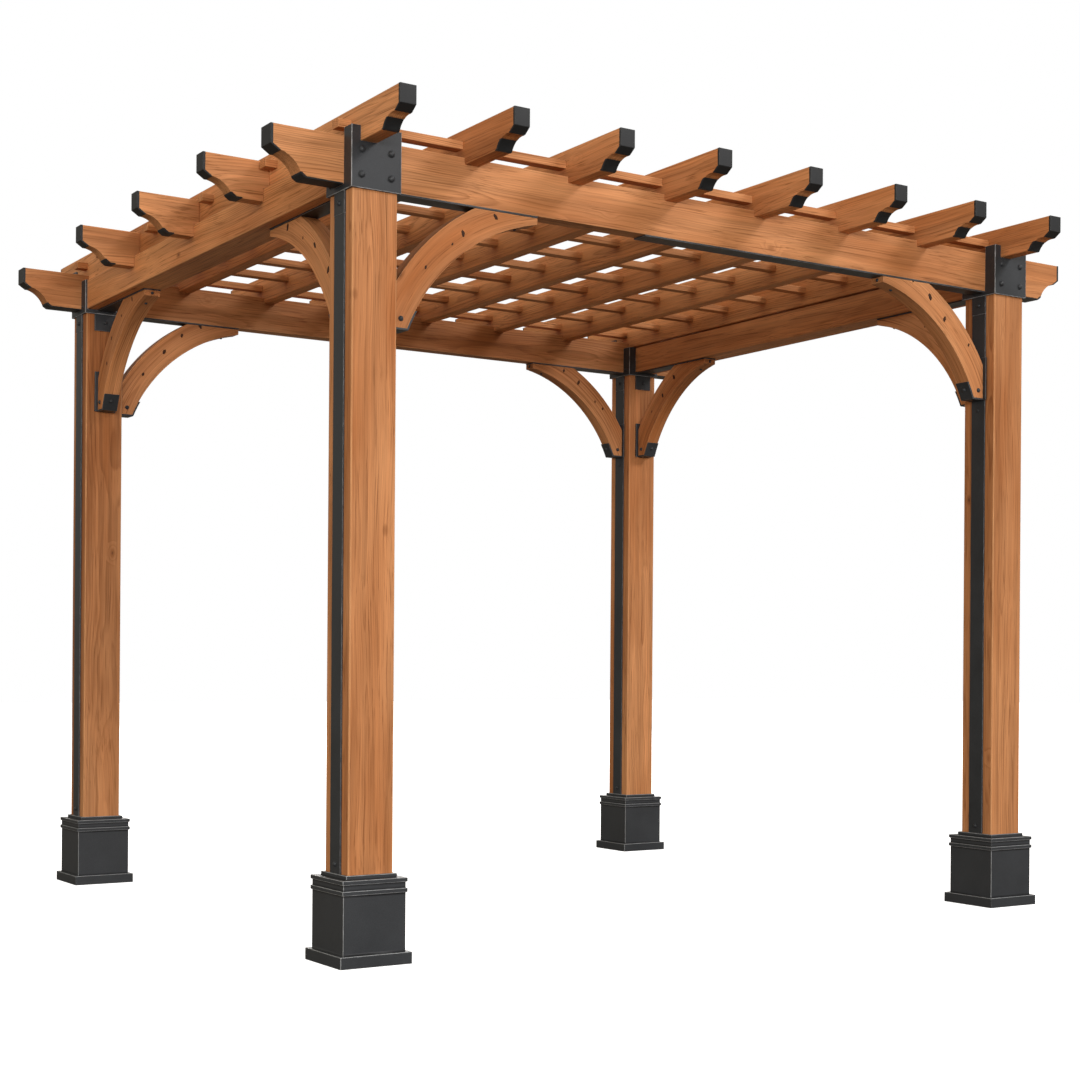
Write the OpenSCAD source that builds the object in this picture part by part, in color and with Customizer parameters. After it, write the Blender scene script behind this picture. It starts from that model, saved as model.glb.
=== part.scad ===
// Free-standing timber pergola, in millimetres, with Z up and the ground at z = 0.
// The front faces -Y and the left side faces -X. Beams run along X and Y on four
// posts, rafters run along Y over the front and back beams, and slats run along X
// through mortises in the rafters.

/* [Posts] */
// Distance between post centres along the front
span_x = 2510; // [2000:10:4000]
// Distance between post centres along the side
span_y = 2180; // [1800:10:4000]
// Height of the post tops, where the beams sit
post_h = 2158; // [1900:1:2800]
// Width of the square posts
post_w = 140; // [115:1:190]

/* [Post bases] */
// Width of the foot plate of a base
base_plate_w = 222; // [210:1:300]
// Height of the foot plate
base_plate_h = 34; // [15:1:60]
// Width of the body of a base
base_body_w = 194; // [192:1:198]
// Height of the body above the foot plate
base_body_h = 165; // [100:1:260]
// How far the two beads stand out from the body
base_bead_out = 4; // [2:0.5:6]
// Height of each bead
base_bead_h = 12; // [8:1:20]
// Height of the frieze between the beads
base_frieze_h = 17; // [10:1:30]
// How far the collar stands out from the post
base_collar_out = 9; // [6:1:18]
// Height of the collar
base_collar_h = 11; // [8:1:40]
// Wall thickness of a base
base_wall = 4; // [2:0.5:8]

/* [Beams] */
// Thickness of the front and back beams
beam_t = 62; // [52:1:76]
// Thickness of the side beams, which are flush with the outer faces of the posts
side_beam_t = 112; // [85:1:120]
// Height of the front and back beams
beam_h = 134; // [120:1:180]
// Length of the beam tails past the post centres
beam_tail = 298; // [240:1:420]
// Gap between the side beams and the end rafters above them
side_gap = 6; // [3:1:20]

/* [Rafters] */
// Number of rafters
rafter_n = 8; // [4:1:12]
// Thickness of a rafter
rafter_t = 51; // [40:1:58]
// Height of a rafter
rafter_h = 102; // [92:1:150]
// Depth of the notch that seats a rafter on the beams
rafter_notch = 20; // [8:1:30]
// Length of the rafter tails past the post centres
rafter_tail = 300; // [240:1:420]
// How far the rafters stand to the left of the post centres
rafter_shift = 24; // [0:1:30]

/* [Side tails] */
// Number of short tails between the posts on each side
stub_n = 3; // [1:1:5]
// Height of a short tail
stub_h = 122; // [110:1:140]
// Length of the short tails past the post centres
stub_tail = 265; // [230:1:340]
// Height of the short tails' tops above the front beam's top
stub_rise = 56; // [10:1:70]

/* [Slats] */
// Number of slats
slat_n = 10; // [4:1:14]
// Width of a slat
slat_w = 40; // [25:1:60]
// Thickness of a slat
slat_h = 24; // [12:1:32]
// Height of the slats above the underside of the rafters
slat_lift = 46; // [36:1:56]
// How far the slats reach past the end rafters
slat_end = 40; // [15:1:42]

/* [Tail ends] */
// Height of the upright nose of a beam tail or a short tail
beam_nose = 54; // [35:1:60]
// Height of the upright nose of a rafter tail
rafter_nose = 52; // [30:1:56]
// Length of the slanted face under the nose
slant_x = 24; // [12:1:40]
// Height of the slanted face under the nose
slant_z = 16; // [10:1:20]
// Length of the scoop behind the slanted face
scoop_len = 60; // [45:1:70]
// Radius of the scoop of a beam tail or a short tail
beam_scoop_r = 85; // [70:1:140]
// Radius of the scoop of a rafter tail
rafter_scoop_r = 58; // [55:1:110]
// Length and height of the flare at the foot of a beam's scoop
beam_flare = [13, 9];
// Length and height of the flare at the foot of a rafter's scoop
rafter_flare = [3, 3];
// Thickness of the steel end caps
cap_t = 8; // [5:0.5:10]
// Thickness of the steel toe plates
toe_t = 4; // [2:0.5:6]
// Length of the toe plates under the short tails
stub_toe_len = 22; // [12:1:50]
// Length of the toe plates under the rafters
rafter_toe_len = 8; // [5:1:30]
// Height of the toe plates up the scoop of a beam tail or a short tail
beam_toe_h = 15; // [12:1:24]
// Height of the toe plates up the scoop of a rafter tail
rafter_toe_h = 28; // [8:1:30]

/* [Knee braces] */
// Thickness of a brace
brace_t = 58; // [40:1:60]
// Depth of a brace across its curve
brace_d = 92; // [70:1:110]
// Radius of the curved underside
brace_r = 600; // [500:10:900]
// Reach of a brace along the beam
brace_reach = 480; // [400:1:560]
// Drop of a brace down the post
brace_drop = 372; // [320:1:460]
// Width of the blunt foot
brace_foot = 45; // [30:1:60]
// Height of the blunt tip
brace_tip = 20; // [10:1:30]

/* [Steel] */
// Thickness of the corner brackets
steel_t = 8; // [6.5:0.5:10]
// Height of the brackets below the post tops
bracket_drop = 16; // [6:1:40]
// Height of the bracket ears above the rafters' underside
bracket_ear = 42; // [20:1:75]
// Length of the bracket tangs down the post
tang_len = 62; // [40:1:110]
// Thickness of the bracket tangs
tang_t = 6; // [4:0.5:6]
// Width of the tangs and strips
strip_w = 62; // [50:1:78]
// Thickness of the strips
strip_t = 5; // [3:0.5:6]
// How far the front right strip under the beam runs past the middle
front_strip_past = 300; // [0:10:400]
// Thickness of the brace shoes
shoe_t = 6; // [3:0.5:8]
// Height of the shoe lip up the curve of a brace
shoe_h = 52; // [30:1:90]
// Height of the shoe's back plate up the post
shoe_back_h = 150; // [80:1:180]
// Width of the shoe's back plate
shoe_back_w = 80; // [64:1:110]
// Clearance beside notched and mortised timber
fit_gap = 0.5; // [0.2:0.1:1]

/* [Hidden] */
$fn = 96;
// Overshoot of cutting shapes
over = 1;
wood = [0.73, 0.49, 0.32];
dark_wood = [0.66, 0.42, 0.26];
steel = [0.21, 0.22, 0.23];

// Heights that several pieces share
beam_top = post_h + beam_h;
rafter_z = beam_top - rafter_notch;
side_beam_h = rafter_z - side_gap - post_h;
side_beam_top = post_h + side_beam_h;
stub_z = beam_top + stub_rise - stub_h;
slat_z = rafter_z + slat_lift;
bracket_z = post_h - bracket_drop;
bracket_top = rafter_z + bracket_ear;
tang_z = bracket_z - tang_len;
brace_z = post_h - strip_t;
shoe_z = brace_z - brace_drop - shoe_t;
base_bead_w = base_body_w + 2 * base_bead_out;
base_bead_z = base_plate_h + base_body_h;
base_top_z = base_bead_z + 2 * base_bead_h + base_frieze_h;
base_h = base_top_z + base_collar_h;

// Plan measures that several pieces share
sleeve_w = post_w + 2 * steel_t;
brace_face = post_w / 2 + strip_t + shoe_t;
rafter_pitch = span_x / (rafter_n - 1);
stub_pitch = span_y / (stub_n + 1);
slat_pitch = span_y / (slat_n - 1);
slat_l = span_x + rafter_t + 2 * slat_end;
side_beam_x = (span_x + post_w - side_beam_t) / 2;
function rafter_x(k) = k * rafter_pitch - span_x / 2 - rafter_shift;

// Tail profiles: height, nose, scoop radius, flare, and length and height of the toe plate,
// which runs back to the corner bracket under the beam tails
beam_toe_len = beam_tail - sleeve_w / 2 - cap_t - slant_x - scoop_len - beam_flare.x;
beam_end = [beam_h, beam_nose, beam_scoop_r, beam_flare, beam_toe_len, beam_toe_h];
stub_end = [stub_h, beam_nose, beam_scoop_r, beam_flare, stub_toe_len, beam_toe_h];
rafter_end = [rafter_h, rafter_nose, rafter_scoop_r, rafter_flare, rafter_toe_len, rafter_toe_h];

// Centre of the arc of radius r that bulges up and to the left from one point to the next
function arc_centre(from, to, r) =
    let (chord = to - from, half = norm(chord) / 2)
    (from + to) / 2 + [chord.y, -chord.x] / norm(chord) * sqrt(r * r - half * half);

// Ends of the slanted face and of the scoop under a tail, and the point behind its flare
function slant_end(p) = [-slant_x, p[0] - p[1] - slant_z];
function scoop_foot(p) = [-slant_x - scoop_len, p[3].y];
function flare_foot(p) = [-slant_x - scoop_len - p[3].x, 0];
function scoop_centre(p) = arc_centre(scoop_foot(p), slant_end(p), p[2]);

// Centre of the brace curve, through the foot and the tip
brace_c = arc_centre([brace_foot, -brace_drop], [brace_reach, -brace_tip], brace_r);

CORNERS = ["front_left", "front_right", "back_left", "back_right"];
SIDE_X = [-1, 1, -1, 1];
SIDE_Y = [-1, -1, 1, 1];

// Square box standing on height z, centred on the axis of a post
module square_box(w, z, h) {
    translate([-w / 2, -w / 2, z]) cube([w, w, h]);
}

// Box centred on x and y, standing on height z
module centred_box(size, z) {
    translate([-size.x / 2, -size.y / 2, z]) cube(size);
}

module at_corner(i) {
    translate([SIDE_X[i] * span_x / 2, SIDE_Y[i] * span_y / 2, 0]) children();
}

// Extrude an upright profile along Y, with the profile's x along X
module along_x(t) {
    rotate([90, 0, 0]) linear_extrude(t, center = true) children();
}

// Extrude an upright profile along X, with the profile's x along Y
module along_y(t) {
    rotate([90, 0, 90]) linear_extrude(t, center = true) children();
}

// The ogee cut under a tail whose outer end is at x = 0 and whose body runs to -x; the lines of
// the slant and the flare run on into the circle of the scoop
module tail_cut(p) {
    nose_z = p[0] - p[1];
    slant = slant_end(p) - [0, nose_z];
    flare = scoop_foot(p) - flare_foot(p);
    polygon([[0, nose_z], slant_end(p) + slant / 2, scoop_foot(p) + flare, flare_foot(p),
        flare_foot(p) - [0, over], [over, -over], [over, nose_z]]);
    translate(scoop_centre(p)) circle(p[2]);
}

// Steel toe let into the foot of the scoop, over its flare and the underside behind it
module tail_toe(p) {
    heel = flare_foot(p);
    difference() {
        union() {
            intersection() {
                translate([-toe_t, toe_t]) tail_cut(p);
                translate([heel.x - 2 * toe_t, 0]) square([scoop_len, p[5]]);
            }
            translate([heel.x - p[4], 0]) square([p[4] + p[3].x, toe_t]);
        }
        tail_cut(p);
    }
}

// Steel cap over the nose and the slanted face, with its outer face at x = 0
module tail_cap(p) {
    nose_z = p[0] - p[1];
    polygon([[0, p[0]], [0, nose_z], slant_end(p),
        slant_end(p) - [cap_t, 0], [-cap_t, nose_z], [-cap_t, p[0]]]);
}

// Timber of one tail, from its capped outer end at x = 0 back to x = -l
module tail_timber(p, l) {
    difference() {
        translate([-l, 0]) square([l - cap_t, p[0]]);
        translate([-cap_t, 0]) tail_cut(p);
        translate([-cap_t, 0]) tail_toe(p);
    }
}

// Upright profile of a board with a tail at each end
module tailed_board(p, half_l) {
    translate([half_l, 0]) tail_timber(p, half_l);
    mirror([1, 0]) translate([half_l, 0]) tail_timber(p, half_l);
}

// Cap and toe of one tail
module tail_steel(p) {
    tail_cap(p);
    translate([-cap_t, 0]) tail_toe(p);
}

module post() {
    color(wood) square_box(post_w, 0, post_h);
}

// Moulded base: a hollow skirt whose collar closes on the post
module base() {
    color(steel) difference() {
        union() {
            square_box(base_plate_w, 0, base_plate_h);
            square_box(base_body_w, 0, base_top_z - base_bead_h);
            square_box(base_bead_w, base_bead_z, base_bead_h);
            square_box(base_bead_w, base_top_z - base_bead_h, base_bead_h);
            square_box(post_w + 2 * base_collar_out, base_top_z - over, base_collar_h + over);
        }
        square_box(base_body_w - 2 * base_wall, -over, base_top_z - base_wall + over);
        square_box(post_w, -over, base_h + 2 * over);
    }
}

// Corner bracket: a sleeve on the post top, slotted for the beams and the end rafter, whose
// outer half stands up as ears beside the rafter; tangs run down both X faces and the inner Y
// face; outward is +1 or -1 along X, and inward is +1 or -1 along Y
module bracket(outward, inward) {
    beam_slot = beam_t + 2 * fit_gap;
    side_slot = side_beam_t + fit_gap;
    rafter_slot = rafter_t + 2 * fit_gap;
    slot_h = bracket_top - post_h + over;
    color(steel) {
        difference() {
            union() {
                square_box(sleeve_w, bracket_z, side_beam_top - bracket_z);
                translate([0, -inward * sleeve_w / 4, 0])
                    centred_box([sleeve_w, sleeve_w / 2, bracket_top - bracket_z], bracket_z);
            }
            square_box(post_w, bracket_z - over, bracket_top - bracket_z + 2 * over);
            centred_box([sleeve_w + 2 * over, beam_slot, slot_h], post_h);
            translate([outward * (post_w - side_slot) / 2, inward * post_w / 2, 0])
                centred_box([side_slot, post_w, slot_h], post_h);
            translate([-rafter_shift, 0, 0])
                centred_box([rafter_slot, sleeve_w + 2 * over, bracket_top - rafter_z + over], rafter_z);
        }
        for (side = [-1, 1])
            translate([side * (post_w + tang_t) / 2, 0, 0])
                centred_box([tang_t, strip_w, tang_len + over], tang_z);
        translate([0, inward * (post_w + tang_t) / 2, 0])
            centred_box([shoe_back_w, tang_t, tang_len + over], tang_z);
    }
}

// Flat strips on a post: full length on both X faces, behind the shoe on the inner Y face
module strips(inward) {
    color(steel) {
        for (side = [-1, 1])
            translate([side * (post_w + strip_t) / 2, 0, 0])
                centred_box([strip_t, strip_w, tang_z - base_h], base_h);
        translate([0, inward * (post_w + strip_t) / 2, 0])
            centred_box([strip_w, strip_t, shoe_back_h], shoe_z);
    }
}

// Front or back beam, at the origin of its own length
module long_beam() {
    color(wood) translate([0, 0, post_h])
        along_x(beam_t) tailed_board(beam_end, span_x / 2 + beam_tail);
}

// Left or right beam, butting the front and back beams
module side_beam() {
    color(wood) centred_box([side_beam_t, span_y - beam_t, side_beam_h], post_h);
}

module rafter() {
    notch_w = beam_t + 2 * fit_gap;
    color(wood) translate([0, 0, rafter_z]) along_y(rafter_t) difference() {
        tailed_board(rafter_end, span_y / 2 + rafter_tail);
        for (side = [-1, 1])
            translate([side * span_y / 2 - notch_w / 2, -over]) square([notch_w, rafter_notch + over]);
        for (k = [0:slat_n - 1])
            translate([k * slat_pitch - span_y / 2 - slat_w / 2 - fit_gap, slat_lift])
                square([slat_w + 2 * fit_gap, slat_h + fit_gap]);
    }
}

// Short tails along one side, lapped over the side beam and butting the end rafter
module side_tails(side) {
    stub_l = stub_tail + side * rafter_shift - rafter_t / 2;
    lap_x = stub_tail - post_w / 2 - fit_gap;
    color(dark_wood) for (k = [1:stub_n])
        translate([side * (span_x / 2 + stub_tail), k * stub_pitch - span_y / 2, stub_z])
            rotate([0, 0, side < 0 ? 180 : 0]) along_x(rafter_t) difference() {
                tail_timber(stub_end, stub_l);
                translate([-stub_l - over, -over])
                    square([stub_l - lap_x + over, side_beam_top - stub_z + over]);
            }
}

module slats() {
    color(dark_wood) for (k = [0:slat_n - 1])
        translate([-rafter_shift, k * slat_pitch - span_y / 2, 0])
            centred_box([slat_l, slat_w, slat_h], slat_z);
}

// Curved knee brace, with its corner at the shoe's plate and the beam strip; it reaches along +X
module brace() {
    color(wood) translate([brace_face, 0, brace_z]) along_x(brace_t) difference() {
        intersection() {
            translate([0, -brace_drop]) square([brace_reach, brace_drop]);
            translate(brace_c) circle(brace_r + brace_d, $fn = 180);
        }
        translate(brace_c) circle(brace_r, $fn = 180);
    }
}

// Steel shoe under the foot of a brace, with a lip up its curve and a plate on the post strip
module brace_shoe() {
    sole_z = -brace_drop - shoe_t;
    color(steel) translate([brace_face, 0, brace_z]) {
        along_x(brace_t) difference() {
            intersection() {
                translate([0, sole_z]) square([brace_reach, shoe_h + shoe_t]);
                union() {
                    translate(brace_c) circle(brace_r, $fn = 180);
                    translate([0, sole_z]) square([brace_foot, shoe_t]);
                }
            }
            translate(brace_c) circle(brace_r - shoe_t, $fn = 180);
        }
        along_x(shoe_back_w) translate([-shoe_t, sole_z]) square([shoe_t, shoe_back_h]);
    }
}

// A pair of braces meets each post, one along X and one along Y
module toward_x(i) {
    at_corner(i) rotate([0, 0, SIDE_X[i] > 0 ? 180 : 0]) children();
}

module toward_y(i) {
    at_corner(i) rotate([0, 0, SIDE_Y[i] > 0 ? -90 : 90]) children();
}

module brace_shoes() {
    for (i = [0:3]) {
        toward_x(i) brace_shoe();
        toward_y(i) brace_shoe();
    }
}

// Strip of length l under a beam, from the bracket on
module beam_strip(l) {
    color(steel) translate([(sleeve_w + l) / 2, 0, 0]) centred_box([l, strip_w, strip_t], brace_z);
}

// Strips over the braces, of which the one at the front right runs on past the middle
module beam_strips() {
    brace_l = brace_face + brace_reach - sleeve_w / 2;
    front_l = (span_x - sleeve_w) / 2 + front_strip_past;
    for (i = [0:3]) {
        toward_x(i) beam_strip(CORNERS[i] == "front_right" ? front_l : brace_l);
        toward_y(i) beam_strip(brace_l);
    }
}

// Caps and toes of the rafter tails along the front (side = -1) or the back (side = +1)
module rafter_caps(side) {
    color(steel) for (k = [0:rafter_n - 1])
        translate([rafter_x(k), side * (span_y / 2 + rafter_tail), rafter_z])
            rotate([0, 0, side < 0 ? 180 : 0]) along_y(rafter_t) tail_steel(rafter_end);
}

// Caps and toes of the tails along the left (side = -1) or the right (side = +1)
module tail_caps(side) {
    color(steel) for (k = [0:stub_n + 1]) {
        at_post = k == 0 || k == stub_n + 1;
        tail_l = at_post ? beam_tail : stub_tail;
        translate([side * (span_x / 2 + tail_l), k * stub_pitch - span_y / 2, at_post ? post_h : stub_z])
            rotate([0, 0, side < 0 ? 180 : 0])
                along_x(at_post ? beam_t : rafter_t) tail_steel(at_post ? beam_end : stub_end);
    }
}

for (i = [0:3]) {
    at_corner(i) post();
    at_corner(i) base();
    at_corner(i) bracket(SIDE_X[i], -SIDE_Y[i]);
    at_corner(i) strips(-SIDE_Y[i]);
    toward_x(i) brace();
    toward_y(i) brace();
}
translate([0, -span_y / 2, 0]) long_beam();  // front_beam
translate([0, span_y / 2, 0]) long_beam();  // back_beam
translate([-side_beam_x, 0, 0]) side_beam();  // left_beam
translate([side_beam_x, 0, 0]) side_beam();  // right_beam
for (k = [1:rafter_n]) {
    translate([rafter_x(k - 1), 0, 0]) rafter();
}
side_tails(-1);  // left_tails
side_tails(1);  // right_tails
slats();
brace_shoes();
beam_strips();
rafter_caps(-1);  // rafter_caps_front
rafter_caps(1);  // rafter_caps_back
tail_caps(-1);  // tail_caps_left
tail_caps(1);  // tail_caps_right
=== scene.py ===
import math
import random

import bmesh
import bpy
from mathutils import Matrix, Vector


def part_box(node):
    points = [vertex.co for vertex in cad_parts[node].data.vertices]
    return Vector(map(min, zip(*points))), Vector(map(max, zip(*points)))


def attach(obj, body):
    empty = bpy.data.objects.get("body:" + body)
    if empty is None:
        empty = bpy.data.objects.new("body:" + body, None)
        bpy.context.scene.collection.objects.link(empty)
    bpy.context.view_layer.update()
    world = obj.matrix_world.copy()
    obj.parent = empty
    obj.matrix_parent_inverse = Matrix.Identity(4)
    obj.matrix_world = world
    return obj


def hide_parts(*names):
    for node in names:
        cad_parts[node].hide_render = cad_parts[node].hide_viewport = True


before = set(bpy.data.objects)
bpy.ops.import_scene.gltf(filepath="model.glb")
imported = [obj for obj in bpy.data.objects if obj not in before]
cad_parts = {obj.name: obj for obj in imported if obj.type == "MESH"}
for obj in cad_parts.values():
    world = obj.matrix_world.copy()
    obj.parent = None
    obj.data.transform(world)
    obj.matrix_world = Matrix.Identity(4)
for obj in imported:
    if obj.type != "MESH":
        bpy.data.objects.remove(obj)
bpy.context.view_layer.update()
cornerNames = ["front_left", "front_right", "back_left", "back_right"]
axisVector = {"x": Vector((1, 0, 0)), "y": Vector((0, 1, 0))}
print("frame:", len(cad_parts), "nodes")


# small helpers for shader nodes

def newMaterial(name):
    mat = bpy.data.materials.new(name)
    mat.use_nodes = True
    mat.node_tree.nodes.clear()
    return mat


def addNode(tree, kind, inputs=None, **settings):
    node = tree.nodes.new(kind)
    for key, value in settings.items():
        setattr(node, key, value)
    for key, value in (inputs or {}).items():
        if isinstance(value, bpy.types.NodeSocket):
            tree.links.new(value, node.inputs[key])
        else:
            node.inputs[key].default_value = value
    return node


def attributeOf(tree, name, output):
    return addNode(tree, "ShaderNodeAttribute", attribute_name=name).outputs[output]


def mathOf(tree, operation, first, second=0.0):
    return addNode(tree, "ShaderNodeMath", {0: first, 1: second}, operation=operation).outputs[0]


def vectorOf(tree, operation, first, second):
    return addNode(tree, "ShaderNodeVectorMath", {0: first, 1: second}, operation=operation).outputs[0]


def noiseOf(tree, vector, scale, detail=2.0, rough=0.5, output=0):
    node = addNode(tree, "ShaderNodeTexNoise",
                   {"Vector": vector, "Scale": scale, "Detail": detail, "Roughness": rough})
    return node.outputs[output]


def grainNoise(tree, vector, pace, detail=2.0, rough=0.5, output=0):
    # noise drawn out along the grain: pace is its scale along and across the board
    return noiseOf(tree, vectorOf(tree, "MULTIPLY", vector, pace), 1.0, detail, rough, output)


def remapped(tree, value, low, high, toLow=0.0, toHigh=1.0, smooth=False):
    node = addNode(tree, "ShaderNodeMapRange",
                   {0: value, 1: low, 2: high, 3: toLow, 4: toHigh},
                   interpolation_type="SMOOTHSTEP" if smooth else "LINEAR")
    return node.outputs[0]


def mixed(tree, factor, first, second, blend="MIX"):
    node = addNode(tree, "ShaderNodeMix", {0: factor, 6: first, 7: second},
                   data_type="RGBA", blend_type=blend)
    return node.outputs[2]


def linear(red, green, blue):
    return (red, green, blue, 1.0)


def grey(level):
    return linear(level, level, level)


def shaded(mat, inputs, height, bumpStrength, bumpDistance):
    tree = mat.node_tree
    bump = addNode(tree, "ShaderNodeBump",
                   {"Strength": bumpStrength, "Distance": bumpDistance, "Height": height})
    shader = addNode(tree, "ShaderNodeBsdfPrincipled", {**inputs, "Normal": bump.outputs[0]})
    addNode(tree, "ShaderNodeOutputMaterial", {0: shader.outputs[0]})
    return mat


# stained cedar: growth rings about a pith, small knots that push the rings aside, fibres and cloudy stain

cedarLook = {
    "pale": linear(0.585, 0.260, 0.106),
    "warm": linear(0.350, 0.117, 0.033),
    "late": linear(0.170, 0.050, 0.012),
    "knot": linear(0.040, 0.016, 0.007),
    # painted highlight colour mixed onto the bevelled arrises
    "worn": linear(0.640, 0.310, 0.135),
    "ringSpacing": 0.0058,
    "ringWander": 0.056,
    "wanderPace": (1.3, 3.6, 3.6),
    "ringJitter": 0.010,
    "jitterPace": (1.6, 24.0, 24.0),
    "ringPale": 0.05,
    "ringStops": ((0.50, 0.22), (0.84, 0.90), (0.92, 1.0)),  # place in the ring, darkness
    "ringFade": (0.0, 0.58),
    "fadeBand": (0.34, 0.70),
    "fadePace": (0.9, 9.0, 9.0),
    "knotCells": (4.6, 8.4, 8.4),
    "knotShare": 0.60,  # of the cells
    "knotReach": 0.052,  # in cells
    "knotCore": 0.35,  # of the reach, and so are the next two
    "knotRim": 2.2,
    "knotPushReach": 5.0,
    "knotPush": 0.011,
    "coreDepth": 0.65,
    "rimDepth": 0.45,
    "stainPace": (1.0, 5.5, 5.5),
    "stainBand": (0.38, 0.72),
    "streakPace": (0.80, 40.0, 40.0),
    "fibrePace": (2.2, 260.0, 260.0),
    "porePace": (13.0, 760.0, 760.0),
    "levelBand": (0.30, 0.70),
    "streakLevel": (0.79, 1.15),
    "fibreLevel": (0.90, 1.09),
    "poreLevel": (0.93, 1.06),
    "toneRange": (0.70, 1.30),
    "lineBand": (0.45, 0.31),
    "lineDepth": 0.58,
    # the next three set the noise that breaks up the painted highlight along the arrises
    "wearPace": (9.0, 30.0, 30.0),
    "wearBand": (0.3, 0.7),
    "wearLevel": (0.30, 0.75),
    "roughness": (0.68, 0.52),
    "roughBand": (0.2, 0.8),
    "specular": 0.16,
    "fibreHeight": 0.65,
    "poreHeight": 0.3,
    "ringHeight": 0.45,
    "knotHeight": 0.4,
    "bump": 0.28,
    "bumpDepth": 0.0008,
}


def cedarMaterial(look):
    mat = newMaterial("stainedCedar")
    tree = mat.node_tree
    grain = attributeOf(tree, "grain", "Vector")
    tone = attributeOf(tree, "tone", "Fac")
    edge = attributeOf(tree, "edge", "Fac")
    plug = attributeOf(tree, "plug", "Fac")

    # the rings wander slowly along the board
    wander = grainNoise(tree, grain, look["wanderPace"], output=1)
    wander = vectorOf(tree, "SUBTRACT", wander, (0.5, 0.5, 0.5))
    wander = vectorOf(tree, "MULTIPLY", wander, (0.0, look["ringWander"], look["ringWander"]))
    bent = vectorOf(tree, "ADD", grain, wander)
    across = vectorOf(tree, "MULTIPLY", bent, (0.0, 1.0, 1.0))
    radius = addNode(tree, "ShaderNodeVectorMath", {0: across}, operation="LENGTH").outputs["Value"]

    # knots sit in some of the cells, which are long in the direction of the grain
    cells = addNode(tree, "ShaderNodeTexVoronoi",
                    {"Vector": vectorOf(tree, "MULTIPLY", bent, look["knotCells"]),
                     "Scale": 1.0, "Randomness": 1.0})
    chance = addNode(tree, "ShaderNodeSeparateColor", {0: cells.outputs["Color"]}).outputs[0]
    bare = mathOf(tree, "GREATER_THAN", chance, look["knotShare"])
    away = mathOf(tree, "ADD", cells.outputs["Distance"], bare)
    reach = look["knotReach"]
    knotCore = remapped(tree, away, reach, reach * look["knotCore"], smooth=True)
    knotRim = remapped(tree, away, reach * look["knotRim"], reach, smooth=True)
    push = remapped(tree, away, reach * look["knotPushReach"], reach, 0.0, look["knotPush"], smooth=True)

    # pale early wood darkens to a sharp late line in each ring
    jitter = remapped(tree, grainNoise(tree, grain, look["jitterPace"]), 0.0, 1.0, 0.0, look["ringJitter"])
    phase = mathOf(tree, "ADD", mathOf(tree, "ADD", radius, push), jitter)
    phase = mathOf(tree, "FRACT", mathOf(tree, "DIVIDE", phase, look["ringSpacing"]))
    rings = addNode(tree, "ShaderNodeValToRGB", {0: phase})
    stops = rings.color_ramp.elements
    for stop in stops:
        stop.color = grey(look["ringPale"])
    for place, darkness in look["ringStops"]:
        stops.new(place).color = grey(darkness)
    fade = grainNoise(tree, grain, look["fadePace"], detail=3.0)
    fade = remapped(tree, fade, *look["fadeBand"], *look["ringFade"])
    ringMix = mathOf(tree, "MULTIPLY", rings.outputs[0], fade)

    # fibres, pores and the uneven stain
    fibre = grainNoise(tree, bent, look["fibrePace"], detail=3.0, rough=0.6)
    pore = grainNoise(tree, grain, look["porePace"], rough=0.6)
    streak = grainNoise(tree, bent, look["streakPace"], detail=3.0, rough=0.6)
    stain = grainNoise(tree, grain, look["stainPace"], detail=3.0, rough=0.55)
    colour = mixed(tree, remapped(tree, stain, *look["stainBand"]), look["pale"], look["warm"])
    colour = mixed(tree, ringMix, colour, look["late"])
    line = remapped(tree, fibre, *look["lineBand"], 0.0, look["lineDepth"], smooth=True)
    colour = mixed(tree, line, colour, look["late"])
    level = remapped(tree, streak, *look["levelBand"], *look["streakLevel"])
    level = mathOf(tree, "MULTIPLY", level, remapped(tree, fibre, *look["levelBand"], *look["fibreLevel"]))
    level = mathOf(tree, "MULTIPLY", level, remapped(tree, pore, *look["levelBand"], *look["poreLevel"]))
    # each board's random tone, with painted light and shade set for each kind of piece
    level = mathOf(tree, "MULTIPLY", level, remapped(tree, tone, -1.0, 1.0, *look["toneRange"]))
    colour = mixed(tree, 1.0, colour, level, "MULTIPLY")
    colour = mixed(tree, mathOf(tree, "MULTIPLY", knotRim, look["rimDepth"]), colour, look["late"])
    colour = mixed(tree, mathOf(tree, "MULTIPLY", knotCore, look["coreDepth"]), colour, look["knot"])

    # painted highlight along the arrises, broken up by noise, and plugs are dark
    wear = grainNoise(tree, grain, look["wearPace"], detail=3.0)
    wear = remapped(tree, wear, *look["wearBand"], *look["wearLevel"])
    colour = mixed(tree, mathOf(tree, "MULTIPLY", wear, edge), colour, look["worn"])
    colour = mixed(tree, plug, colour, look["knot"])

    roughness = remapped(tree, fibre, *look["roughBand"], *look["roughness"])
    height = mathOf(tree, "ADD", mathOf(tree, "MULTIPLY", fibre, look["fibreHeight"]),
                    mathOf(tree, "MULTIPLY", pore, look["poreHeight"]))
    height = mathOf(tree, "SUBTRACT", height, mathOf(tree, "MULTIPLY", ringMix, look["ringHeight"]))
    height = mathOf(tree, "ADD", height, mathOf(tree, "MULTIPLY", knotCore, look["knotHeight"]))
    inputs = {"Base Color": colour, "Roughness": roughness, "Specular IOR Level": look["specular"]}
    return shaded(mat, inputs, height, look["bump"], look["bumpDepth"])


# charcoal coated steel, with a painted highlight along its edges broken up by noise, and painted shade in
# level inner corners

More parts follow.
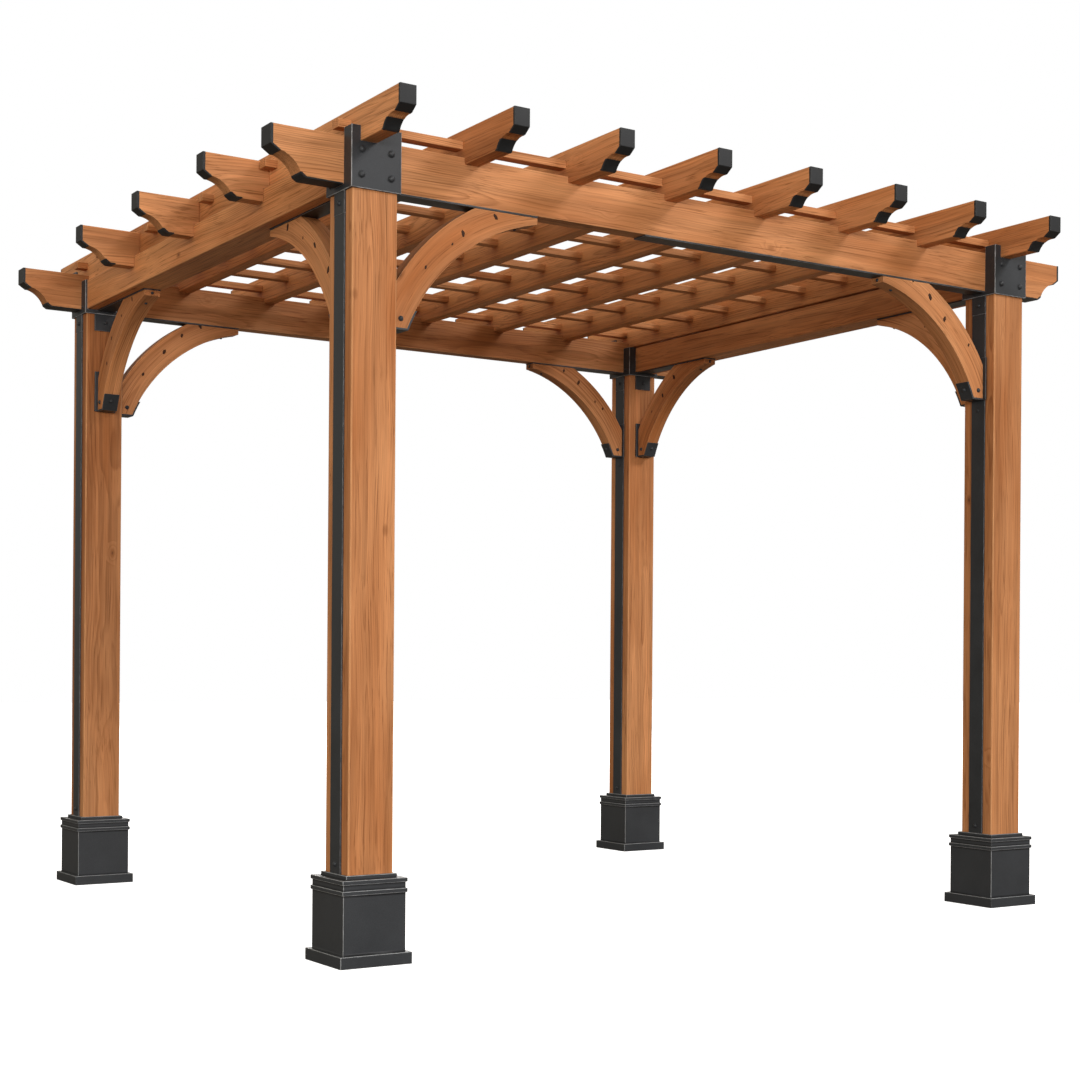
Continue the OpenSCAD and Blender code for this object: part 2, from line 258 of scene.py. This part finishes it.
steelLook = {
    "name": "charcoalSteel",
    "dark": linear(0.0168, 0.0187, 0.0215),
    "light": linear(0.0290, 0.0318, 0.0360),
    # painted highlight colour for the edges
    "worn": linear(0.38, 0.39, 0.40),
    # painted shade colour for the inner corners
    "grime": linear(0.0050, 0.0050, 0.0055),
    "cloudScale": 7.0,
    "speckScale": 520.0,
    # this noise breaks up the painted highlight along the edges
    "rubScale": 46.0,
    "band": (0.3, 0.7),
    "speckLevel": (0.85, 1.18),
    "rubBand": (0.34, 0.62),
    "wear": (0.30, 0.95),
    "roughness": (0.42, 0.56),
    "specular": 0.40,
    "bump": 0.20,
    "bumpDepth": 0.0004,
}
skirtLook = {
    **steelLook,
    "name": "charcoalSkirt",
    "dark": linear(0.0278, 0.0301, 0.0336),
    "light": linear(0.0350, 0.0377, 0.0418),
    "worn": linear(0.36, 0.37, 0.38),
    "wear": (0.60, 1.00),
    "roughness": (0.46, 0.62),
    "specular": 0.30,
    "bumpDepth": 0.0005,
}
capLook = {
    **steelLook,
    "name": "charcoalCap",
    "dark": linear(0.0085, 0.0092, 0.0102),
    "light": linear(0.0140, 0.0150, 0.0164),
    "specular": 0.30,
}


def steelMaterial(look):
    mat = newMaterial(look["name"])
    tree = mat.node_tree
    place = addNode(tree, "ShaderNodeTexCoord").outputs["Object"]
    edge = attributeOf(tree, "edge", "Fac")
    grime = attributeOf(tree, "grime", "Fac")
    cloud = noiseOf(tree, place, look["cloudScale"], detail=4.0, rough=0.6)
    speck = noiseOf(tree, place, look["speckScale"])
    breakup = noiseOf(tree, place, look["rubScale"], detail=4.0, rough=0.65)
    colour = mixed(tree, remapped(tree, cloud, *look["band"]), look["dark"], look["light"])
    speckLevel = remapped(tree, speck, *look["band"], *look["speckLevel"])
    colour = mixed(tree, 1.0, colour, speckLevel, "MULTIPLY")
    # painted highlight along the bevelled edges, broken up by noise
    wear = remapped(tree, breakup, *look["rubBand"], *look["wear"])
    colour = mixed(tree, mathOf(tree, "MULTIPLY", wear, edge), colour, look["worn"])
    # painted shade in the level inner corners
    colour = mixed(tree, grime, colour, look["grime"])
    roughness = remapped(tree, cloud, *look["band"], *look["roughness"])
    inputs = {"Base Color": colour, "Roughness": roughness, "Specular IOR Level": look["specular"]}
    return shaded(mat, inputs, speck, look["bump"], look["bumpDepth"])


cedar = cedarMaterial(cedarLook)
steel = steelMaterial(steelLook)
skirt = steelMaterial(skirtLook)
capSteel = steelMaterial(capLook)
print("materials: cedar, steel, skirt, cap steel")


# a dressed piece is a copy of its node with merged faces and softened edges

dressLook = {
    "mergeGap": 0.00002,
    "cutGap": 0.00001,
    "digits": 5,  # of metres, where points are matched
    "flatAngle": math.radians(0.6),
    "sharpAngle": math.radians(38),
    "longEdge": 0.08,
    "longSegments": 3,
    "shortSegments": 2,
}


def nodeBmesh(node):
    bm = bmesh.new()
    bm.from_mesh(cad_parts[node].data)
    bmesh.ops.remove_doubles(bm, verts=bm.verts, dist=dressLook["mergeGap"])
    bmesh.ops.dissolve_limit(bm, angle_limit=dressLook["flatAngle"], verts=bm.verts, edges=bm.edges)
    return bm


def sharpEdges(bm):
    return [e for e in bm.edges if e.is_manifold and e.calc_face_angle_signed() > dressLook["sharpAngle"]]


def softenEdges(bm, look):
    worn = bm.faces.layers.float.new("edge")
    # the long arrises first, then every edge that is still sharp
    rounds = ((dressLook["longEdge"], look["long"], dressLook["longSegments"]),
              (0.0, look["short"], dressLook["shortSegments"]))
    for shortest, size, segments in rounds:
        edges = [e for e in sharpEdges(bm) if e.calc_length() >= shortest]
        if not edges:
            continue
        made = bmesh.ops.bevel(bm, geom=edges, offset=size, offset_type="OFFSET", segments=segments,
                               profile=0.5, affect="EDGES", material=-1, clamp_overlap=True)
        # the bevel faces carry the amount of painted highlight along the edge
        for face in made["faces"]:
            face[worn] = look["worn"]


def cutAcross(bm, point, normal):
    geom = bm.verts[:] + bm.edges[:] + bm.faces[:]
    bmesh.ops.bisect_plane(bm, geom=geom, dist=dressLook["cutGap"], plane_co=point, plane_no=normal)


def looseParts(bm):
    bm.verts.index_update()
    seen = set()
    parts = []
    for start in bm.verts:
        if start.index in seen:
            continue
        seen.add(start.index)
        part = [start]
        for vert in part:
            for e in vert.link_edges:
                other = e.other_vert(vert)
                if other.index not in seen:
                    seen.add(other.index)
                    part.append(other)
        parts.append(part)
    return parts


def finishPiece(name, bm, mat, nodes=()):
    mesh = bpy.data.meshes.new(name)
    bm.to_mesh(mesh)
    bm.free()
    for face in mesh.polygons:
        face.use_smooth = True
    mesh.set_sharp_from_angle(angle=dressLook["sharpAngle"])
    mesh.materials.append(mat)
    piece = bpy.data.objects.new(name, mesh)
    bpy.context.scene.collection.objects.link(piece)
    normals = piece.modifiers.new("evenShade", "WEIGHTED_NORMAL")
    normals.keep_sharp = True
    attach(piece, "root")
    if nodes:
        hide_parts(*nodes)


def pieceName(node):
    first, *rest = node.split("_")
    return first + "".join(word.capitalize() for word in rest)


# timber: each board has its own pith, length offset and tone; the tone set for each kind of piece is
# painted light and shade

# each kind's last value is the amount of painted highlight along its arrises
timberLook = {
    # kind tones: the back beam darker as painted shade, the side beams, rafters and front beam lighter as
    # painted light
    "post": {"axis": "z", "broad": 1, "tone": -0.10, "long": 0.0042, "short": 0.0020, "worn": 1.0},
    "frontBeam": {"axis": "x", "broad": 0, "tone": 0.22, "long": 0.0034, "short": 0.0014, "worn": 0.8},
    "backBeam": {"axis": "x", "broad": 0, "tone": -0.30, "long": 0.0034, "short": 0.0014, "worn": 0.8},
    "sideBeam": {"axis": "y", "broad": 0, "tone": 0.80, "long": 0.0034, "short": 0.0020, "worn": 0.8},
    "rafter": {"axis": "y", "broad": 0, "tone": 0.74, "long": 0.0030, "short": 0.0013, "worn": 0.7},
    "tail": {"axis": "x", "broad": 0, "tone": 0.25, "long": 0.0030, "short": 0.0013, "worn": 0.7},
    "slat": {"axis": "x", "broad": 1, "tone": 0.25, "long": 0.0022, "short": 0.0014, "worn": 0.5},
}
pithLook = {"behind": (0.05, 0.11), "beside": (0.0, 0.045), "lengthRange": 40.0, "toneSpread": 0.22}


def grainDraw(draw, look):
    # the pith lies behind the broad faces, which broad picks out of the two directions across the board
    spread = pithLook["toneSpread"]
    pith = []
    for across in range(2):
        reach = pithLook["behind" if across == look["broad"] else "beside"]
        pith.append(draw.choice((-1, 1)) * draw.uniform(*reach))
    return draw.uniform(0, pithLook["lengthRange"]), pith, look["tone"] + draw.uniform(-spread, spread)


def straightGrain(bm, look, seed):
    draw = random.Random(seed)
    grain = bm.verts.layers.float_vector.new("grain")
    tone = bm.verts.layers.float.new("tone")
    order = {"x": (0, 1, 2), "y": (1, 0, 2), "z": (2, 0, 1)}[look["axis"]]
    for part in looseParts(bm):
        shift, pith, level = grainDraw(draw, look)
        middle = sum((v.co for v in part), Vector()) / len(part)
        for vert in part:
            along = vert.co[order[0]] + shift
            wide = vert.co[order[1]] - middle[order[1]] + pith[0]
            deep = vert.co[order[2]] - middle[order[2]] + pith[1]
            vert[grain] = Vector((along, wide, deep))
            vert[tone] = level


def timber(node, look):
    bm = nodeBmesh(node)
    softenEdges(bm, look)
    straightGrain(bm, look, node)
    finishPiece(pieceName(node), bm, cedar, [node])


for corner in cornerNames:
    timber("post_" + corner, timberLook["post"])
timber("front_beam", timberLook["frontBeam"])
timber("back_beam", timberLook["backBeam"])
for node in ("left_beam", "right_beam"):
    timber(node, timberLook["sideBeam"])
rafters = sorted(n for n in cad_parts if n.startswith("rafter_") and n[-1].isdigit())
for node in rafters:
    timber(node, timberLook["rafter"])
for node in ("left_tails", "right_tails"):
    timber(node, timberLook["tail"])
timber("slats", timberLook["slat"])
print("timber: posts, beams,", len(rafters), "rafters, tails and slats")


# knee braces: the grain follows the curve, so the sides are cut into wedges about its centre

braceLook = {
    "radius": 0.600,
    "foot": 0.045,
    "tip": 0.020,
    "depth": 0.092,
    "broad": 1,
    "tone": 0.25,
    "wedges": 22,
    "long": 0.0030,
    "short": 0.0030,
    # amount of painted highlight along the arrises
    "worn": 0.8,
}


def boxCentre(node):
    low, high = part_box(node)
    return (low + high) / 2


def braceFrame(axis, corner):
    # the brace's own frame: u runs from the post along the beam, v runs up
    low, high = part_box("brace_%s_%s" % (axis, corner))
    across = "y" if axis == "x" else "x"
    centre = (low + high) / 2
    post = boxCentre("post_" + corner)
    inward = axisVector[axis].copy()
    if centre.dot(inward) < post.dot(inward):
        inward = -inward
    faces = [point.dot(inward) for point in (low, high)]
    reach = max(faces) - min(faces)
    drop = high.z - low.z
    side = axisVector[across]
    origin = inward * min(faces) + side * centre.dot(side) + Vector((0, 0, high.z))
    thick = abs((high - low).dot(side))
    return {"origin": origin, "inward": inward, "side": side, "reach": reach, "drop": drop, "thick": thick}


def curveCentre(place):
    foot = Vector((braceLook["foot"], -place["drop"]))
    tip = Vector((place["reach"], -braceLook["tip"]))
    chord = tip - foot
    normal = Vector((chord.y, -chord.x)).normalized()
    return (foot + tip) / 2 + normal * math.sqrt(braceLook["radius"] ** 2 - chord.length_squared / 4)


def braceAngle(place, share):
    # the angle about the curve's centre, from the tip (0) to the foot (1)
    mid = curveCentre(place)
    tip = math.atan2(-braceLook["tip"] - mid.y, place["reach"] - mid.x)
    foot = math.atan2(-place["drop"] - mid.y, braceLook["foot"] - mid.x)
    return tip + (foot - tip) * share


def braceSpot(place, u, v, w=0.0):
    return place["origin"] + place["inward"] * u + Vector((0, 0, v)) + place["side"] * w


def braceWay(place, flat):
    return place["inward"] * flat.x + Vector((0, 0, flat.y))


def brace(axis, corner):
    node = "brace_%s_%s" % (axis, corner)
    place = braceFrame(axis, corner)
    mid = curveCentre(place)
    hub = braceSpot(place, mid.x, mid.y)
    bm = nodeBmesh(node)
    softenEdges(bm, braceLook)
    for k in range(braceLook["wedges"] + 1):
        angle = braceAngle(place, k / braceLook["wedges"])
        cutAcross(bm, hub, braceWay(place, Vector((-math.sin(angle), math.cos(angle)))))
    shift, pith, level = grainDraw(random.Random(node), braceLook)
    grain = bm.verts.layers.float_vector.new("grain")
    tone = bm.verts.layers.float.new("tone")
    for vert in bm.verts:
        away = vert.co - hub
        u = away.dot(place["inward"])
        v = away.z
        along = math.atan2(v, u) * braceLook["radius"] + shift
        wide = math.hypot(u, v) - braceLook["radius"] + pith[0]
        vert[grain] = Vector((along, wide, away.dot(place["side"]) + pith[1]))
        vert[tone] = level
    finishPiece(pieceName(node), bm, cedar, [node])
    return place


bracePlaces = []
for corner in cornerNames:
    for axis in ("x", "y"):
        bracePlaces.append(brace(axis, corner))
print("braces:", len(bracePlaces))


# steel fittings

# each fitting has its bevel sizes and the amount of painted highlight along its edges; the skirt also has
# painted shade in its inner corners
fittingLook = {
    "bracket": {"long": 0.0019, "short": 0.0016, "worn": 0.9},
    "strip": {"long": 0.0012, "short": 0.0012, "worn": 0.35},
    "shoe": {"long": 0.0015, "short": 0.0015, "worn": 0.2},
    "cap": {"long": 0.0015, "short": 0.0015, "worn": 0.06},
    "skirt": {"long": 0.0014, "short": 0.0014, "worn": 0.85, "grime": (0.007, 0.8)},  # reach, depth
}


def paintCornerShade(bm, reach, depth):
    # painted shade: dark lines in the level inner corners, which fade out a short reach above and below
    digits = dressLook["digits"]
    inner = [e for e in bm.edges if e.is_manifold and e.calc_face_angle_signed() < -dressLook["sharpAngle"]]
    level = [e for e in inner if abs(e.verts[0].co.z - e.verts[1].co.z) < dressLook["mergeGap"]]
    spots = [v.co.copy() for e in level for v in e.verts]
    for height in sorted({round(spot.z + way * reach, digits) for spot in spots for way in (-1, 1)}):
        cutAcross(bm, (0, 0, height), (0, 0, 1))
    places = {tuple(round(x, digits) for x in spot) for spot in spots}
    grime = bm.verts.layers.float.new("grime")
    for vert in bm.verts:
        if tuple(round(x, digits) for x in vert.co) in places:
            vert[grime] = depth


def fitting(node, look, mat):
    bm = nodeBmesh(node)
    softenEdges(bm, look)
    # painted shade in inner corners, where the fitting has it
    if "grime" in look:
        paintCornerShade(bm, *look["grime"])
    finishPiece(pieceName(node), bm, mat, [node])


for corner in cornerNames:
    fitting("bracket_" + corner, fittingLook["bracket"], steel)
    fitting("strips_" + corner, fittingLook["strip"], steel)
    fitting("base_" + corner, fittingLook["skirt"], skirt)
fitting("brace_shoes", fittingLook["shoe"], steel)
fitting("beam_strips", fittingLook["strip"], steel)
for node in ("rafter_caps_front", "rafter_caps_back", "tail_caps_left", "tail_caps_right"):
    fitting(node, fittingLook["cap"], capSteel)
print("steel: brackets, strips, skirts, shoes and caps")


# domed bolts on washers

boltLook = {
    "large": {"head": 0.0094, "dome": 0.0064, "washer": 0.0106, "sheet": 0.0016, "turns": 20, "rings": 5},
    "medium": {"head": 0.0068, "dome": 0.0050, "washer": 0.0080, "sheet": 0.0014, "turns": 18, "rings": 4},
    "small": {"head": 0.0050, "dome": 0.0036, "washer": 0.0060, "sheet": 0.0012, "turns": 16, "rings": 4},
}
washerChamfer = 0.35  # share of the washer's sheet


def spunMesh(name, outline, turns):
    bm = bmesh.new()
    verts = [bm.verts.new((x, 0.0, z)) for x, z in outline]
    edges = [bm.edges.new(pair) for pair in zip(verts, verts[1:])]
    bmesh.ops.spin(bm, geom=verts + edges, cent=(0, 0, 0), axis=(0, 0, 1), angle=2 * math.pi,
                   steps=turns, use_merge=True)
    bmesh.ops.remove_doubles(bm, verts=bm.verts, dist=dressLook["cutGap"])
    bmesh.ops.recalc_face_normals(bm, faces=bm.faces)
    mesh = bpy.data.meshes.new(name)
    bm.to_mesh(mesh)
    bm.free()
    return mesh


def boltMesh(name, look):
    chamfer = look["sheet"] * washerChamfer
    outline = [(0.0, 0.0), (look["washer"], 0.0), (look["washer"], look["sheet"] - chamfer),
               (look["washer"] - chamfer, look["sheet"]), (look["head"], look["sheet"])]
    for k in range(1, look["rings"] + 1):
        turn = math.pi / 2 * k / look["rings"]
        outline.append((look["head"] * math.cos(turn), look["sheet"] + look["dome"] * math.sin(turn)))
    return spunMesh(name, outline, look["turns"])


boltMeshes = {kind: boltMesh(kind + "Bolt", look) for kind, look in boltLook.items()}


def addShape(bm, mesh):
    first = len(bm.verts)
    bm.from_mesh(mesh)
    bm.verts.ensure_lookup_table()
    return bm.verts[first:]


def seated(point, outward):
    return Matrix.Translation(point) @ Vector(outward).to_track_quat("Z", "Y").to_matrix().to_4x4()


def boltSet(name, spots):
    # each spot is a kind of bolt, a point on a face and the way the face looks
    bm = bmesh.new()
    for kind, point, outward in spots:
        verts = addShape(bm, boltMeshes[kind])
        bmesh.ops.transform(bm, matrix=seated(point, outward), verts=verts)
    bm.faces.layers.float.new("edge")
    finishPiece(name, bm, steel)


# lengths on the fittings that the bolts sit in; a tip bolt's under is a share of the brace's curve
bracketBolts = {
    "sleeve": 0.016,
    "wide": 0.046,
    "low": 0.038,
    "high": 0.107,
    "wallIn": 0.051,
    "wallUp": 0.024,
    "tangDown": 0.031,
    "tangSheet": 0.006,
}
stripBolts = {"foot": 0.026, "underShoe": 0.034}
shoeBolts = {"sheet": 0.006, "lip": 0.027, "sideOut": 0.024, "sideUp": 0.026}
tipBolts = {"up": 0.010, "under": 0.11}


def bracketSpots(corner):
    low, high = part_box("bracket_" + corner)
    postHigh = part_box("post_" + corner)[1]
    middle = boxCentre("post_" + corner)
    inY = -1 if middle.y > 0 else 1
    outerFace = high.y if middle.y > 0 else low.y
    sleeveLow = postHigh.z - bracketBolts["sleeve"]
    spots = []
    for dx in (-bracketBolts["wide"], bracketBolts["wide"]):
        for up in (bracketBolts["low"], bracketBolts["high"]):
            spots.append(("large", Vector((middle.x + dx, outerFace, sleeveLow + up)), (0, -inY, 0)))
    wallDeep = middle.y + inY * bracketBolts["wallIn"]
    wallHeight = sleeveLow + bracketBolts["wallUp"]
    tangOut = postHigh.x - middle.x + bracketBolts["tangSheet"]
    tangHeight = sleeveLow - bracketBolts["tangDown"]
    for face, way in ((low.x, -1), (high.x, 1)):
        spots.append(("small", Vector((face, wallDeep, wallHeight)), (way, 0, 0)))
        spots.append(("medium", Vector((middle.x + way * tangOut, middle.y, tangHeight)), (way, 0, 0)))
    spots.append(("medium", Vector((middle.x, middle.y + inY * tangOut, tangHeight)), (0, inY, 0)))
    return spots


def stripSpots(corner):
    low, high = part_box("strips_" + corner)
    middle = boxCentre("post_" + corner)
    inX = -1 if middle.x > 0 else 1
    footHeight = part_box("base_" + corner)[1].z + stripBolts["foot"]
    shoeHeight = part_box("brace_shoes")[0].z - stripBolts["underShoe"]
    spots = []
    for face, way in ((low.x, -1), (high.x, 1)):
        spots.append(("medium", Vector((face, middle.y, footHeight)), (way, 0, 0)))
        if way == inX:
            spots.append(("small", Vector((face, middle.y, shoeHeight)), (way, 0, 0)))
    return spots


def shoeSpots(place):
    mid = curveCentre(place)
    lipBottom = -place["drop"]
    height = lipBottom + shoeBolts["lip"]
    shoeInner = braceLook["radius"] - shoeBolts["sheet"]
    lipOut = mid.x - math.sqrt(shoeInner ** 2 - (height - mid.y) ** 2)
    facing = (mid - Vector((lipOut, height))).normalized()
    spots = [("medium", braceSpot(place, lipOut, height), braceWay(place, facing))]
    sideHeight = lipBottom + shoeBolts["sideUp"]
    for way in (-1, 1):
        point = braceSpot(place, shoeBolts["sideOut"], sideHeight, way * place["thick"] / 2)
        spots.append(("medium", point, place["side"] * way))
    return spots


def tipSpots(place):
    angle = braceAngle(place, tipBolts["under"])
    spoke = Vector((math.cos(angle), math.sin(angle)))
    under = curveCentre(place) + spoke * braceLook["radius"]
    return [("small", braceSpot(place, place["reach"], -tipBolts["up"]), place["inward"]),
            ("small", braceSpot(place, under.x, under.y), -braceWay(place, spoke))]


boltSpots = {
    "bracketBolts": [spot for corner in cornerNames for spot in bracketSpots(corner)],
    "stripBolts": [spot for corner in cornerNames for spot in stripSpots(corner)],
    "shoeBolts": [spot for place in bracePlaces for spot in shoeSpots(place)],
    "tipBolts": [spot for place in bracePlaces for spot in tipSpots(place)],
}
for name, spots in boltSpots.items():
    boltSet(name, spots)
print("bolts:", sum(len(spots) for spots in boltSpots.values()))


# dark ragged plugs along the sides of the braces; shares run from a brace's tip to its foot

plugLook = {
    "shares": (0.22, 0.38, 0.54, 0.69),
    "out": 0.60,  # of the brace's depth
    "long": 0.0088,
    "wide": 0.0052,
    "rise": 0.0005,
    "shoulder": (0.75, 0.8),
    "turns": 14,
    "vary": 0.45,
    "ragged": 0.22,
    "tilt": 0.6,
    "drift": (0.05, 0.018),  # along as a share, across in metres
}


def plugSet(look):
    draw = random.Random("plugs")
    drift, sway = look["drift"]
    wide, high = look["shoulder"]
    rise = look["rise"]
    shape = spunMesh("plug", ((0.0, rise), (wide, rise * high), (1.0, 0.0)), look["turns"])
    bm = bmesh.new()
    for place in bracePlaces:
        mid = curveCentre(place)
        away = braceLook["radius"] + look["out"] * braceLook["depth"]
        for way in (-1, 1):
            for share in look["shares"]:
                angle = braceAngle(place, share + draw.uniform(-drift, drift))
                spot = mid + Vector((math.cos(angle), math.sin(angle))) * (away + draw.uniform(-sway, sway))
                point = braceSpot(place, spot.x, spot.y, way * place["thick"] / 2)
                size = 1 + draw.uniform(-look["vary"], look["vary"])
                stretch = Matrix.Diagonal((look["wide"] * size, look["long"] * size, 1.0, 1.0))
                lean = Matrix.Rotation(draw.uniform(-look["tilt"], look["tilt"]), 4, "Z")
                verts = addShape(bm, shape)
                for vert in verts:
                    vert.co.xy = vert.co.xy * (1 + draw.uniform(-look["ragged"], look["ragged"]))
                turn = seated(point, place["side"] * way)
                bmesh.ops.transform(bm, matrix=turn @ lean @ stretch, verts=verts)
    plug = bm.verts.layers.float.new("plug")
    for vert in bm.verts:
        vert[plug] = 1.0
    finishPiece("bracePlugs", bm, cedar)


plugSet(plugLook)
print("plugs:", 2 * len(bracePlaces) * len(plugLook["shares"]))


# pale floor, white surround, a large soft key from the front left and fills from the other sides

stageLook = {
    "size": 60.0,
    "floor": linear(0.80, 0.80, 0.80),
    "bounce": linear(0.18, 0.16, 0.135),
    "glow": 0.95,
}
skyLook = {
    "below": 0.22,
    "level": 0.37,
    "above": 0.64,
    "fall": -0.25,
    "rise": 0.8,
    "colour": linear(1.0, 0.95, 0.85),
    "seen": linear(1.0, 1.0, 1.0),
}
lampLook = {
    "softKey": {"place": (-6.0, -16.0, 2.5), "aim": (0.0, -0.5, 1.8), "size": (9.0, 1.8), "power": 1450.0,
                "colour": (1.0, 0.99, 1.0)},
    "leftFill": {"place": (-16.0, -5.0, 4.6), "aim": (0.0, 0.0, 1.6), "size": (10.0, 3.0), "power": 470.0,
                 "colour": (1.0, 0.90, 0.72)},
    "rightFill": {"place": (6.5, -10.0, 9.0), "aim": (0.0, -0.6, 1.9), "size": (4.4, 2.8), "power": 760.0,
                  "colour": (1.0, 0.99, 1.0)},
    "backFill": {"place": (8.0, 14.0, 5.0), "aim": (0.0, 0.5, 1.6), "size": (9.0, 3.4), "power": 1300.0,
                 "colour": (1.0, 0.98, 0.96)},
}


def cameraRay(tree):
    return addNode(tree, "ShaderNodeLightPath").outputs["Is Camera Ray"]


def floorPiece(look):
    bm = bmesh.new()
    bmesh.ops.create_grid(bm, x_segments=1, y_segments=1, size=look["size"] / 2)
    mesh = bpy.data.meshes.new("paleFloor")
    bm.to_mesh(mesh)
    bm.free()
    mat = newMaterial("palePaper")
    tree = mat.node_tree
    paper = addNode(tree, "ShaderNodeBsdfDiffuse", {"Color": look["floor"]})
    glow = addNode(tree, "ShaderNodeEmission", {"Strength": look["glow"]})
    seen = addNode(tree, "ShaderNodeAddShader", {0: paper.outputs[0], 1: glow.outputs[0]})
    bounce = addNode(tree, "ShaderNodeBsdfDiffuse", {"Color": look["bounce"]})
    both = addNode(tree, "ShaderNodeMixShader",
                   {0: cameraRay(tree), 1: bounce.outputs[0], 2: seen.outputs[0]})
    addNode(tree, "ShaderNodeOutputMaterial", {0: both.outputs[0]})
    mesh.materials.append(mat)
    floor = bpy.data.objects.new("paleFloor", mesh)
    bpy.context.scene.collection.objects.link(floor)


def surround(look):
    world = bpy.data.worlds.new("whiteSurround")
    bpy.context.scene.world = world
    world.use_nodes = True
    tree = world.node_tree
    tree.nodes.clear()
    direction = addNode(tree, "ShaderNodeTexCoord").outputs["Generated"]
    height = addNode(tree, "ShaderNodeSeparateXYZ", {0: direction}).outputs[2]
    upper = remapped(tree, height, 0.0, look["rise"], look["level"], look["above"])
    lower = remapped(tree, height, look["fall"], 0.0, look["below"], look["level"])
    isUp = mathOf(tree, "GREATER_THAN", height, 0.0)
    strength = addNode(tree, "ShaderNodeMix", {0: isUp, 2: lower, 3: upper})
    soft = addNode(tree, "ShaderNodeBackground", {0: look["colour"], 1: strength.outputs[0]})
    white = addNode(tree, "ShaderNodeBackground", {0: look["seen"], 1: 1.0})
    both = addNode(tree, "ShaderNodeMixShader",
                   {0: cameraRay(tree), 1: soft.outputs[0], 2: white.outputs[0]})
    addNode(tree, "ShaderNodeOutputWorld", {0: both.outputs[0]})


def softLamp(name, look):
    light = bpy.data.lights.new(name, "AREA")
    light.shape = "RECTANGLE"
    light.size, light.size_y = look["size"]
    light.energy = look["power"]
    light.color = look["colour"]
    lamp = bpy.data.objects.new(name, light)
    bpy.context.scene.collection.objects.link(lamp)
    lamp.location = look["place"]
    aim = Vector(look["aim"]) - Vector(look["place"])
    lamp.rotation_euler = aim.to_track_quat("-Z", "Y").to_euler()


floorPiece(stageLook)
surround(skyLook)
for name, look in lampLook.items():
    softLamp(name, look)
bpy.context.scene.view_settings.view_transform = "Standard"
print("stage: floor, surround and", len(lampLook), "lamps")


# the camera stands low at the front left; lengths in pixels are of the square 1080 picture

cameraLook = {
    "picture": 1080,
    "focal": 1815.6,
    "horizon": 664.7,
    "place": (-3.5994, -5.6268, 0.8342),
    "yaw": 32.98,
    "roll": 0.4,
    "sensor": 36.0,
    "farthest": 200.0,
}


def photoCamera(look):
    data = bpy.data.cameras.new("photoCamera")
    data.sensor_width = look["sensor"]
    data.lens = look["focal"] / look["picture"] * look["sensor"]
    data.shift_y = (look["horizon"] - look["picture"] / 2) / look["picture"]
    data.clip_end = look["farthest"]
    camera = bpy.data.objects.new("photoCamera", data)
    bpy.context.scene.collection.objects.link(camera)
    turn = Matrix.Rotation(-math.radians(look["yaw"]), 4, "Z") @ Matrix.Rotation(math.pi / 2, 4, "X")
    roll = Matrix.Rotation(math.radians(look["roll"]), 4, "Z")
    camera.matrix_world = Matrix.Translation(look["place"]) @ turn @ roll
    bpy.context.scene.camera = camera


photoCamera(cameraLook)
